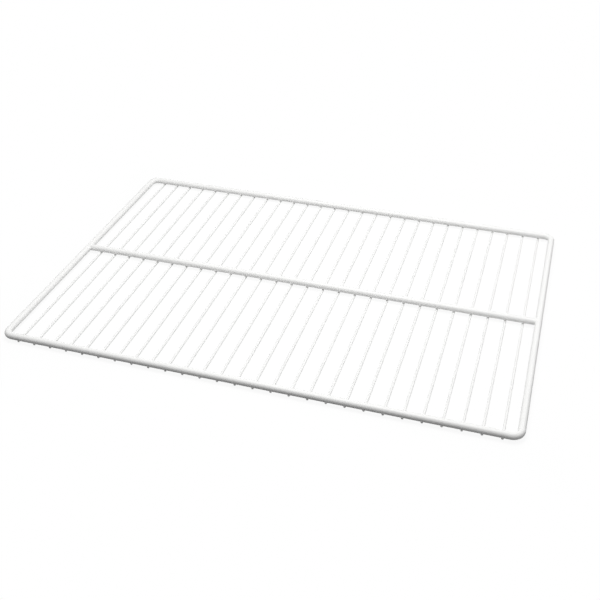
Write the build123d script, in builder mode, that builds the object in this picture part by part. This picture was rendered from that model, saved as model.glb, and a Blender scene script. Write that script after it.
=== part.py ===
from build123d import *
from math import sqrt
import os

# Refrigerator shelf: a loop of thick round rod with a bar across its middle, and a row of thin wires
# welded to the undersides of both. It is coated after welding, and every diameter includes the coating.
# Millimetres, X along the width, Y to the back, Z up. It stands on its wires, origin under its middle.

# Shelf, outside to outside
shelf_width = 530.0
shelf_depth = 370.0

# Rod of the frame and the centre bar
bar_diameter = 7.2
corner_radius = 8.6  # bend of the rod's centreline
cope_flat = 1.2  # centre bar's blunt tips stop this far short of the side bars' centrelines

# Cross wires
wire_diameter = 2.4
wire_count = 28
edge_gap = 15.5  # a side bar's centreline to the nearest wire's
wire_overrun = 1.4  # wire's cut end past the centreline of the front or back bar

# Welds
weld_depth = 0.3  # how far each wire is pressed flat under a bar

# Places that follow
bar_radius = bar_diameter / 2
wire_radius = wire_diameter / 2
side_x = shelf_width / 2 - bar_radius
front_y = shelf_depth / 2 - bar_radius
wire_end_y = front_y + wire_overrun
wire_pitch = 2 * (side_x - edge_gap) / (wire_count - 1)
land_z = wire_diameter - weld_depth
bar_z = land_z + bar_radius
land_half = sqrt(bar_radius**2 - (bar_radius - weld_depth) ** 2)  # reach of a bar below the wires' tops

os.makedirs("parts", exist_ok=True)

# Frame: the rod runs once round a rectangle with bent corners and closes on itself
with BuildPart() as frame_loop:
    with BuildLine(Plane.XY.offset(bar_z)) as loop_path:
        FilletPolyline(
            (-side_x, -front_y),
            (side_x, -front_y),
            (side_x, front_y),
            (-side_x, front_y),
            radius=corner_radius,
            close=True,
        )
    loop_start = Plane(origin=loop_path.line @ 0, z_dir=loop_path.line % 0)
    with BuildSketch(loop_start):
        Circle(bar_radius)
    sweep(path=loop_path.line)
frame_loop.part.label = "frame_loop"
export_step(frame_loop.part, "parts/frame_loop.step")

# Centre bar: on the frame's level, its ends coped to the round flanks of the side bars
with BuildPart() as centre_bar:
    with BuildSketch(Plane.YZ):
        with Locations((0, bar_z)):
            Circle(bar_radius)
    extrude(amount=side_x - cope_flat, both=True)
    add(frame_loop.part, mode=Mode.SUBTRACT)
centre_bar.part.label = "centre_bar"
export_step(centre_bar.part, "parts/centre_bar.step")

# Cross wires: front to back under the bars, each pressed to a flat land where a bar is welded on it
for number in range(1, wire_count + 1):
    wire_x = edge_gap - side_x + (number - 1) * wire_pitch
    with BuildPart() as cross_wire:
        with BuildSketch(Plane.XZ):
            with Locations((wire_x, wire_radius)):
                Circle(wire_radius)
        extrude(amount=wire_end_y, both=True)
        with BuildSketch(Plane.YZ.offset(wire_x)):
            with Locations((0, land_z)):
                Rectangle(2 * land_half, weld_depth, align=(Align.CENTER, Align.MIN))
            with Locations((-wire_end_y, land_z), (wire_end_y, land_z)):
                Rectangle(2 * (wire_overrun + land_half), weld_depth, align=(Align.CENTER, Align.MIN))
        extrude(amount=wire_radius, both=True, mode=Mode.SUBTRACT)
    cross_wire.part.label = f"cross_wire_{number:02d}"
    export_step(cross_wire.part, f"parts/{cross_wire.part.label}.step")
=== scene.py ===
import math
import random

import bmesh
import bpy
from mathutils import Matrix, Vector


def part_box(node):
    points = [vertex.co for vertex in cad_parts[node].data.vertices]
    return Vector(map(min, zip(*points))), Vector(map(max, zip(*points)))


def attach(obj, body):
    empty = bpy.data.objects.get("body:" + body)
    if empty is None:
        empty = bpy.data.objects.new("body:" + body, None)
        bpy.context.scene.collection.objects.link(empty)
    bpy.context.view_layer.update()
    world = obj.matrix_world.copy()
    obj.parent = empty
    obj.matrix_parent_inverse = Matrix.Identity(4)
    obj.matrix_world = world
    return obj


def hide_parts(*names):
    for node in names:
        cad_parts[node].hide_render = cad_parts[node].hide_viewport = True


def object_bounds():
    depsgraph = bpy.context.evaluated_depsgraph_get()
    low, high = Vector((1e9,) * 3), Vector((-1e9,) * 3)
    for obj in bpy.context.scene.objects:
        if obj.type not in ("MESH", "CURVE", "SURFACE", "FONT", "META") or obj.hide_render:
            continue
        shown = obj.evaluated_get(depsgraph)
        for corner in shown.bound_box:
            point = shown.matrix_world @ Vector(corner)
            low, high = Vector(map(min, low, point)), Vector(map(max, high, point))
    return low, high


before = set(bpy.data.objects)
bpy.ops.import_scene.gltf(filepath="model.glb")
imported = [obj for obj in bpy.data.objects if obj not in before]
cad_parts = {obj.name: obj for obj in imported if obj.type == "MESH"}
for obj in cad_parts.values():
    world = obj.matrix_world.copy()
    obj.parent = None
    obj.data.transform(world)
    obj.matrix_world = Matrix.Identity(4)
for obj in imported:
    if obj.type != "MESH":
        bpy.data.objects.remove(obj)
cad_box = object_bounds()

# A white coated wire shelf of a refrigerator, lying flat on a white studio floor.
# Metres, in the frame's axes: X along the width, Y to the back, Z up.

MM = 0.001
ALONG_X, ALONG_Y = 0, 1

# Rods and wires, read from the frame
rod_low, rod_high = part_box("frame_loop")
ROD_RADIUS = (rod_high.z - rod_low.z) / 2
ROD_Z = (rod_high.z + rod_low.z) / 2
SIDE_X = rod_high.x - ROD_RADIUS
FRONT_Y = rod_high.y - ROD_RADIUS
BARS_Y = (-FRONT_Y, 0.0, FRONT_Y)  # the bars that every wire passes under
WIRE_NODES = sorted(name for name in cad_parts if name.startswith("cross_wire"))
wire_low, wire_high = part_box(WIRE_NODES[0])
WIRE_RADIUS = (wire_high.x - wire_low.x) / 2
WIRE_Z = wire_low.z + WIRE_RADIUS

# Form of the coated rods and wires
BEND_RADIUS = 8.6 * MM  # frame's corners, to the rod's centreline
WIRE_END_ROUND = 0.5 * MM  # coating drawn over a cut wire end
WEB_WIDTH = 0.9 * MM  # coating that fills the corner between two welded pieces
WEB_SPREAD = 0.15  # webs differ by up to this share
WEB_ROOT = 0.12 * MM  # a web's edge ends this far inside the other piece
WEB_REACH = 4.2 * MM  # how far along a wire or bar a web can be felt
WEB_STEP = 0.35 * MM  # spacing of the rings there
WEB_TRIES = 24  # steps in which a web's height is found
WEB_TOLERANCE = 0.002 * MM
random.seed(28)

# Fineness of the meshes
ROD_SIDES = 48
WIRE_SIDES = 28
BEND_STEPS = 16
END_STEPS = 4
MIRROR_MERGE = 0.01 * MM
DOUBLES_MERGE = 0.005 * MM

# Finish of the coating
THIN_TONE, FULL_TONE = "#f3f3f2", "#f7f7f6"  # its colour drifts between these
POOLED_TONE = "#f1f1ee"  # at the welds
DRIFT_SIZE = 45 * MM
ROUGHNESS_LOW, ROUGHNESS_HIGH = 0.42, 0.52
PEEL_SIZE = 2.2 * MM
PEEL_DEPTH = 0.04 * MM
PEEL_STRENGTH = 0.25
COAT_IOR = 1.5

# Camera, recovered from the photograph's straight members
CAMERA_PLACE = (0.2486, -0.7962, 0.5585)
CAMERA_AZIMUTH = 17.32
CAMERA_ELEVATION = 34.678
CAMERA_ROLL = -0.23
FOCAL_LENGTH_PIXELS = 895.9
IMAGE_PIXELS = 600
SENSOR_MM = 36.0

# Studio: square soft boxes with their bearing clockwise from the back, elevation and watts
SOFT_BOXES = {"overhead_box": (0, 90, 7.4), "back_right_box": (45, 35, 1.0)}
BOX_SIZE = 0.60
BOX_DISTANCE = 1.0  # from the shelf's middle
SKY_STRENGTH = 0.36
WHITE = "#ffffff"
BOARD_TONE = "#cbcbcb"  # light thrown back by the pale board under the shelf
SURROUND_TONE = "#404040"  # light thrown back by the floor around it
BOARD_EDGE = 2 * MM  # soft edge between the two
FLOOR_REACH = 6.0  # from the floor's middle to its edges
FLOOR_DROP = 0.02 * MM
FLOOR_SHADOW = 0.09  # share of the floor's white that the shelf's shadow can take away
SHADOW_REACH = 60 * MM  # past the shelf's outline


def linear(code):
    """An sRGB hex colour as linear RGBA."""
    channels = [int(code[i:i + 2], 16) / 255 for i in (1, 3, 5)]
    return [c / 12.92 if c <= 0.04045 else ((c + 0.055) / 1.055) ** 2.4 for c in channels] + [1.0]


def add_node(tree, kind, inputs=None, **settings):
    """Adds a node, sets its settings, and sets or links its inputs."""
    made = tree.nodes.new(kind)
    for name, value in settings.items():
        setattr(made, name, value)
    for name, value in (inputs or {}).items():
        if isinstance(value, bpy.types.NodeSocket):
            tree.links.new(value, made.inputs[name])
        else:
            made.inputs[name].default_value = value
    return made


def empty_material(name):
    """A material with an empty node tree."""
    material = bpy.data.materials.new(name)
    material.use_nodes = True
    material.node_tree.nodes.clear()
    return material, material.node_tree


def white_powder_coat():
    """Polyester powder baked on steel: half gloss, a faint orange peel, creamier where it pooled."""
    material, tree = empty_material("white_powder_coat")
    place = add_node(tree, "ShaderNodeTexCoord").outputs["Object"]
    drift = add_node(
        tree, "ShaderNodeTexNoise", {"Vector": place, "Scale": 1 / DRIFT_SIZE, "Detail": 2.0}
    )
    skin = add_node(
        tree,
        "ShaderNodeMix",
        {"Factor": drift.outputs["Fac"], "A": linear(THIN_TONE), "B": linear(FULL_TONE)},
        data_type="RGBA",
    )
    pooled = add_node(tree, "ShaderNodeAttribute", attribute_name="pooled")
    colour = add_node(
        tree,
        "ShaderNodeMix",
        {"Factor": pooled.outputs["Fac"], "A": skin.outputs["Result"], "B": linear(POOLED_TONE)},
        data_type="RGBA",
    )
    gloss = add_node(
        tree,
        "ShaderNodeMapRange",
        {"Value": drift.outputs["Fac"], "To Min": ROUGHNESS_LOW, "To Max": ROUGHNESS_HIGH},
    )
    peel = add_node(
        tree, "ShaderNodeTexNoise", {"Vector": place, "Scale": 1 / PEEL_SIZE, "Detail": 1.0}
    )
    relief = add_node(
        tree,
        "ShaderNodeBump",
        {"Height": peel.outputs["Fac"], "Strength": PEEL_STRENGTH, "Distance": PEEL_DEPTH},
    )
    surface = add_node(
        tree,
        "ShaderNodeBsdfPrincipled",
        {
            "Base Color": colour.outputs["Result"],
            "Roughness": gloss.outputs["Result"],
            "IOR": COAT_IOR,
            "Normal": relief.outputs["Normal"],
        },
    )
    add_node(tree, "ShaderNodeOutputMaterial", {"Surface": surface.outputs["BSDF"]})
    return material


def vertices_of(made):
    """The vertices among an operator's results."""
    return [item for item in made if isinstance(item, bmesh.types.BMVert)]


def ring_of(made):
    """The edges among an operator's results that lie in its newest ring."""
    new = set(vertices_of(made))
    edges = [item for item in made if isinstance(item, bmesh.types.BMEdge)]
    return [edge for edge in edges if new.issuperset(edge.verts)]


def start_ring(mesh, radius, sides, turn):
    """Begins an empty mesh with an open circle to draw a rod or wire from. Returns its edges."""
    bmesh.ops.create_circle(mesh, segments=sides, radius=radius, matrix=turn)
    return mesh.edges[:]


def draw_on(mesh, ring, step):
    """Draws a ring straight on by one step. Returns the new ring."""
    made = bmesh.ops.extrude_edge_only(mesh, edges=ring)["geom"]
    bmesh.ops.translate(mesh, verts=vertices_of(made), vec=step)
    return ring_of(made)


def bend(mesh, ring, centre, angle, steps):
    """Bends a ring round an upright axis. Returns the new ring."""
    made = bmesh.ops.spin(
        mesh, geom=ring, cent=centre, axis=(0, 0, 1), angle=angle, steps=steps, use_duplicate=False
    )
    return ring_of(made["geom_last"])


def close_end(mesh, ring):
    """Closes a ring with a fan of faces."""
    end = bmesh.ops.edgeloop_fill(mesh, edges=ring)["faces"]
    bmesh.ops.poke(mesh, faces=end)


def round_end(mesh, ring, tip, sign):
    """Draws a wire's last ring in over its rounded edge and closes it."""
    for step in range(END_STEPS):
        turn = [math.pi / 2 * (step + i) / END_STEPS for i in (0, 1)]
        before, after = [WIRE_RADIUS - WIRE_END_ROUND * (1 - math.cos(a)) for a in turn]
        advance = WIRE_END_ROUND * (math.sin(turn[1]) - math.sin(turn[0]))
        ring = draw_on(mesh, ring, (0, sign * advance, 0))
        points = list({v for edge in ring for v in edge.verts})
        shrink = after / before
        bmesh.ops.scale(mesh, vec=(shrink, 1, shrink), space=Matrix.Translation(-tip), verts=points)
    close_end(mesh, ring)


def mirrored(mesh, axis):
    """Adds the mesh's mirror image and joins the two where they meet."""
    everything = mesh.verts[:] + mesh.edges[:] + mesh.faces[:]
    bmesh.ops.mirror(mesh, geom=everything, axis=axis, merge_dist=MIRROR_MERGE)


def blended(first, second, width):
    """Distance to the smooth union of two pieces, from the distances to each."""
    overlap = max(width - abs(first - second), 0.0)
    return min(first, second) - overlap * overlap / (4 * width)


def from_bar(place, centre, along):
    """The way to a place from a bar's centreline, which runs along one axis through a centre."""
    away = place - centre
    away[along] = 0.0
    return away


def web_height(place, outward, centre, along, width):
    """How far coating stands off a surface beside a bar."""
    height = 0.0
    for _ in range(WEB_TRIES):
        gap = from_bar(place + outward * height, centre, along).length - ROD_RADIUS
        depth = blended(height, gap, width)
        if gap < -WEB_ROOT or depth > -WEB_TOLERANCE:
            break
        height -= depth
    return height


def coat_weld(mesh, centre, along):
    """Raises the vertices near a weld to a bar to fill its corner, and marks how much pooled on each."""
    pooled = mesh.verts.layers.float.get("pooled") or mesh.verts.layers.float.new("pooled")
    mesh.normal_update()
    widest = WEB_WIDTH * (1 + random.uniform(-WEB_SPREAD, WEB_SPREAD))
    for vertex in [v for v in mesh.verts if (v.co - centre).length < WEB_REACH + 2 * ROD_RADIUS]:
        outward = vertex.normal.copy()
        level = outward.dot(from_bar(vertex.co, centre, along).normalized())
        width = widest * min(1.0, 1.0 - level)  # no corner to fill where both surfaces face one way
        if width < WEB_ROOT:
            continue
        height = web_height(vertex.co, outward, centre, along, width)
        vertex.co += outward * height
        vertex[pooled] = min(1.0, height / widest)


def object_of(mesh, name, material):
    """Makes an object of a mesh, in one material."""
    data = bpy.data.meshes.new(name)
    mesh.to_mesh(data)
    mesh.free()
    data.materials.append(material)
    made = bpy.data.objects.new(name, data)
    bpy.context.scene.collection.objects.link(made)
    return made


def finish_piece(mesh, name, coat, node):
    """Makes a smooth coated piece of a mesh and lets it stand for its CAD node."""
    bmesh.ops.remove_doubles(mesh, verts=mesh.verts, dist=DOUBLES_MERGE)
    bmesh.ops.recalc_face_normals(mesh, faces=mesh.faces)
    for face in mesh.faces:
        face.smooth = True
    piece = object_of(mesh, name, coat)
    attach(piece, "root")
    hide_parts(node)


def frame_rod(coat):
    """One rod bent round four corners: a quarter of it is drawn, then mirrored both ways."""
    mesh = bmesh.new()
    corner = Vector((SIDE_X - BEND_RADIUS, -FRONT_Y + BEND_RADIUS, ROD_Z))
    across = Matrix.Translation((0, -FRONT_Y, ROD_Z)) @ Matrix.Rotation(math.pi / 2, 4, "Y")
    ring = start_ring(mesh, ROD_RADIUS, ROD_SIDES, across)
    ring = draw_on(mesh, ring, (corner.x, 0, 0))
    ring = bend(mesh, ring, corner, math.pi / 2, BEND_STEPS)
    draw_on(mesh, ring, (0, -corner.y, 0))
    mirrored(mesh, "X")
    mirrored(mesh, "Y")
    finish_piece(mesh, "frame_rod", coat, "frame_loop")


def centre_rod(coat):
    """The bar across the middle: half of it is drawn, closed, coped to the side bar's flank and mirrored."""
    mesh = bmesh.new()
    across = Matrix.Translation((0, 0, ROD_Z)) @ Matrix.Rotation(math.pi / 2, 4, "Y")
    ring = start_ring(mesh, ROD_RADIUS, ROD_SIDES, across)
    joint = SIDE_X - ROD_RADIUS - WEB_REACH
    ring = draw_on(mesh, ring, (joint, 0, 0))
    steps = math.ceil((SIDE_X - joint) / WEB_STEP)
    for _ in range(steps):
        ring = draw_on(mesh, ring, ((SIDE_X - joint) / steps, 0, 0))
    close_end(mesh, ring)
    side_bar = Vector((SIDE_X, 0, ROD_Z))
    sunk = ROD_RADIUS - 2 * WEB_ROOT
    for vertex in [v for v in mesh.verts if v.co.x > joint]:
        flank = math.sqrt(max(sunk**2 - (vertex.co.z - ROD_Z) ** 2, 0.0))
        vertex.co.x -= flank * (vertex.co.x - joint) / (SIDE_X - joint)
    coat_weld(mesh, side_bar, ALONG_Y)
    for vertex in {v for edge in ring for v in edge.verts}:
        away = from_bar(vertex.co, side_bar, ALONG_Y)
        vertex.co -= away * max(1 - sunk / away.length, 0.0)  # the tip's edge stays inside the side bar
    mirrored(mesh, "X")
    finish_piece(mesh, "centre_rod", coat, "centre_bar")


def ring_places(last):
    """Where a wire's rings lie along it: close together at the bars, and one at each end."""
    count = round(WEB_REACH / WEB_STEP)
    near_bars = {bar_y + i * WEB_STEP for bar_y in BARS_Y for i in range(-count, count + 1)}
    return sorted(y for y in near_bars | {-last, last} if abs(y) <= last)


def cross_wire(node, coat):
    """One thin wire with rounded ends, webbed to the bars that it passes under."""
    low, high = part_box(node)
    x = (low.x + high.x) / 2
    end_y = high.y
    rings = ring_places(end_y - WIRE_END_ROUND)
    mesh = bmesh.new()
    along = Matrix.Translation((x, rings[0], WIRE_Z)) @ Matrix.Rotation(math.pi / 2, 4, "X")
    first = start_ring(mesh, WIRE_RADIUS, WIRE_SIDES, along)
    ring = first
    for here, there in zip(rings, rings[1:]):
        ring = draw_on(mesh, ring, (0, there - here, 0))
    for end, sign in ((first, -1), (ring, 1)):
        round_end(mesh, end, Vector((x, sign * end_y, WIRE_Z)), sign)
    for bar_y in BARS_Y:
        coat_weld(mesh, Vector((x, bar_y, ROD_Z)), ALONG_X)
    finish_piece(mesh, node.replace("cross_", "coated_"), coat, node)


def seen_directly(tree):
    """A factor that is 1 for what the camera sees, straight or through a gloss or a clear surface."""
    path = add_node(tree, "ShaderNodeLightPath").outputs
    seen = path["Is Camera Ray"]
    for way in ("Is Glossy Ray", "Is Transmission Ray"):
        seen = add_node(tree, "ShaderNodeMath", {0: seen, 1: path[way]}, operation="MAXIMUM").outputs[0]
    return seen


def past_outline(tree):
    """How far a place on the floor lies past the shelf's outline, below zero inside it."""
    place = add_node(tree, "ShaderNodeTexCoord").outputs["Object"]
    place = add_node(tree, "ShaderNodeSeparateXYZ", {"Vector": place}).outputs
    past = []
    for axis, half in (("X", rod_high.x), ("Y", rod_high.y)):
        away = add_node(tree, "ShaderNodeMath", {0: place[axis]}, operation="ABSOLUTE").outputs[0]
        past.append(add_node(tree, "ShaderNodeMath", {0: away, 1: half}, operation="SUBTRACT").outputs[0])
    return add_node(tree, "ShaderNodeMath", {0: past[0], 1: past[1]}, operation="MAXIMUM").outputs[0]


def white_studio_floor():
    """Matt white paper, plain white to the camera apart from the shelf's shadow."""
    material, tree = empty_material("white_studio_floor")
    past = past_outline(tree)
    shadow = add_node(
        tree,
        "ShaderNodeMapRange",
        {"Value": past, "From Min": 0.0, "From Max": SHADOW_REACH, "To Min": FLOOR_SHADOW, "To Max": 0.0},
        interpolation_type="SMOOTHSTEP",
    )
    lit = add_node(tree, "ShaderNodeBsdfDiffuse", {"Color": linear(WHITE)})
    glow = add_node(tree, "ShaderNodeEmission", {"Color": linear(WHITE), "Strength": 1.0})
    white = add_node(
        tree, "ShaderNodeMixShader", {0: shadow.outputs["Result"], 1: glow.outputs[0], 2: lit.outputs[0]}
    )
    around = add_node(tree, "ShaderNodeMapRange", {"Value": past, "From Min": 0.0, "From Max": BOARD_EDGE})
    tone = add_node(
        tree,
        "ShaderNodeMix",
        {"Factor": around.outputs["Result"], "A": linear(BOARD_TONE), "B": linear(SURROUND_TONE)},
        data_type="RGBA",
    )
    bounce = add_node(tree, "ShaderNodeBsdfDiffuse", {"Color": tone.outputs["Result"]})
    shown = add_node(
        tree, "ShaderNodeMixShader", {0: seen_directly(tree), 1: bounce.outputs[0], 2: white.outputs[0]}
    )
    add_node(tree, "ShaderNodeOutputMaterial", {"Surface": shown.outputs[0]})
    return material


def studio_floor():
    """A level floor just under the wires."""
    mesh = bmesh.new()
    level = Matrix.Translation((0, 0, cad_box[0].z - FLOOR_DROP))
    bmesh.ops.create_grid(mesh, x_segments=1, y_segments=1, size=FLOOR_REACH, matrix=level)
    object_of(mesh, "studio_floor", white_studio_floor())


def soft_boxes():
    """Square lamps, turned to the shelf's middle."""
    for name, (bearing, elevation, watts) in SOFT_BOXES.items():
        lamp = bpy.data.lights.new(name, "AREA")
        lamp.size = BOX_SIZE
        lamp.energy = watts
        holder = bpy.data.objects.new(name, lamp)
        bpy.context.scene.collection.objects.link(holder)
        holder.visible_camera = False
        holder.matrix_world = (
            Matrix.Rotation(math.radians(-bearing), 4, "Z")
            @ Matrix.Rotation(math.radians(elevation - 90), 4, "X")
            @ Matrix.Translation((0, 0, BOX_DISTANCE))
        )


def white_sky():
    """A faint even light from all round, which looks white to the camera."""
    world = bpy.data.worlds.new("white_studio")
    bpy.context.scene.world = world
    world.use_nodes = True
    tree = world.node_tree
    tree.nodes.clear()
    strength = add_node(
        tree, "ShaderNodeMapRange", {"Value": seen_directly(tree), "To Min": SKY_STRENGTH, "To Max": 1.0}
    )
    sky = add_node(
        tree, "ShaderNodeBackground", {"Color": linear(WHITE), "Strength": strength.outputs["Result"]}
    )
    add_node(tree, "ShaderNodeOutputWorld", {"Surface": sky.outputs[0]})


def photo_camera():
    """The camera of the photograph."""
    lens = bpy.data.cameras.new("photo_camera")
    lens.sensor_width = SENSOR_MM
    lens.lens = FOCAL_LENGTH_PIXELS / IMAGE_PIXELS * SENSOR_MM
    camera = bpy.data.objects.new("photo_camera", lens)
    bpy.context.scene.collection.objects.link(camera)
    camera.matrix_world = (
        Matrix.Translation(CAMERA_PLACE)
        @ Matrix.Rotation(math.radians(CAMERA_AZIMUTH), 4, "Z")
        @ Matrix.Rotation(math.radians(90 - CAMERA_ELEVATION), 4, "X")
        @ Matrix.Rotation(math.radians(CAMERA_ROLL), 4, "Z")
    )
    bpy.context.scene.camera = camera


bpy.context.scene.view_settings.view_transform = "Standard"
photo_camera()
soft_boxes()
white_sky()
studio_floor()
powder_coat = white_powder_coat()
frame_rod(powder_coat)
centre_rod(powder_coat)
for wire_node in WIRE_NODES:
    cross_wire(wire_node, powder_coat)
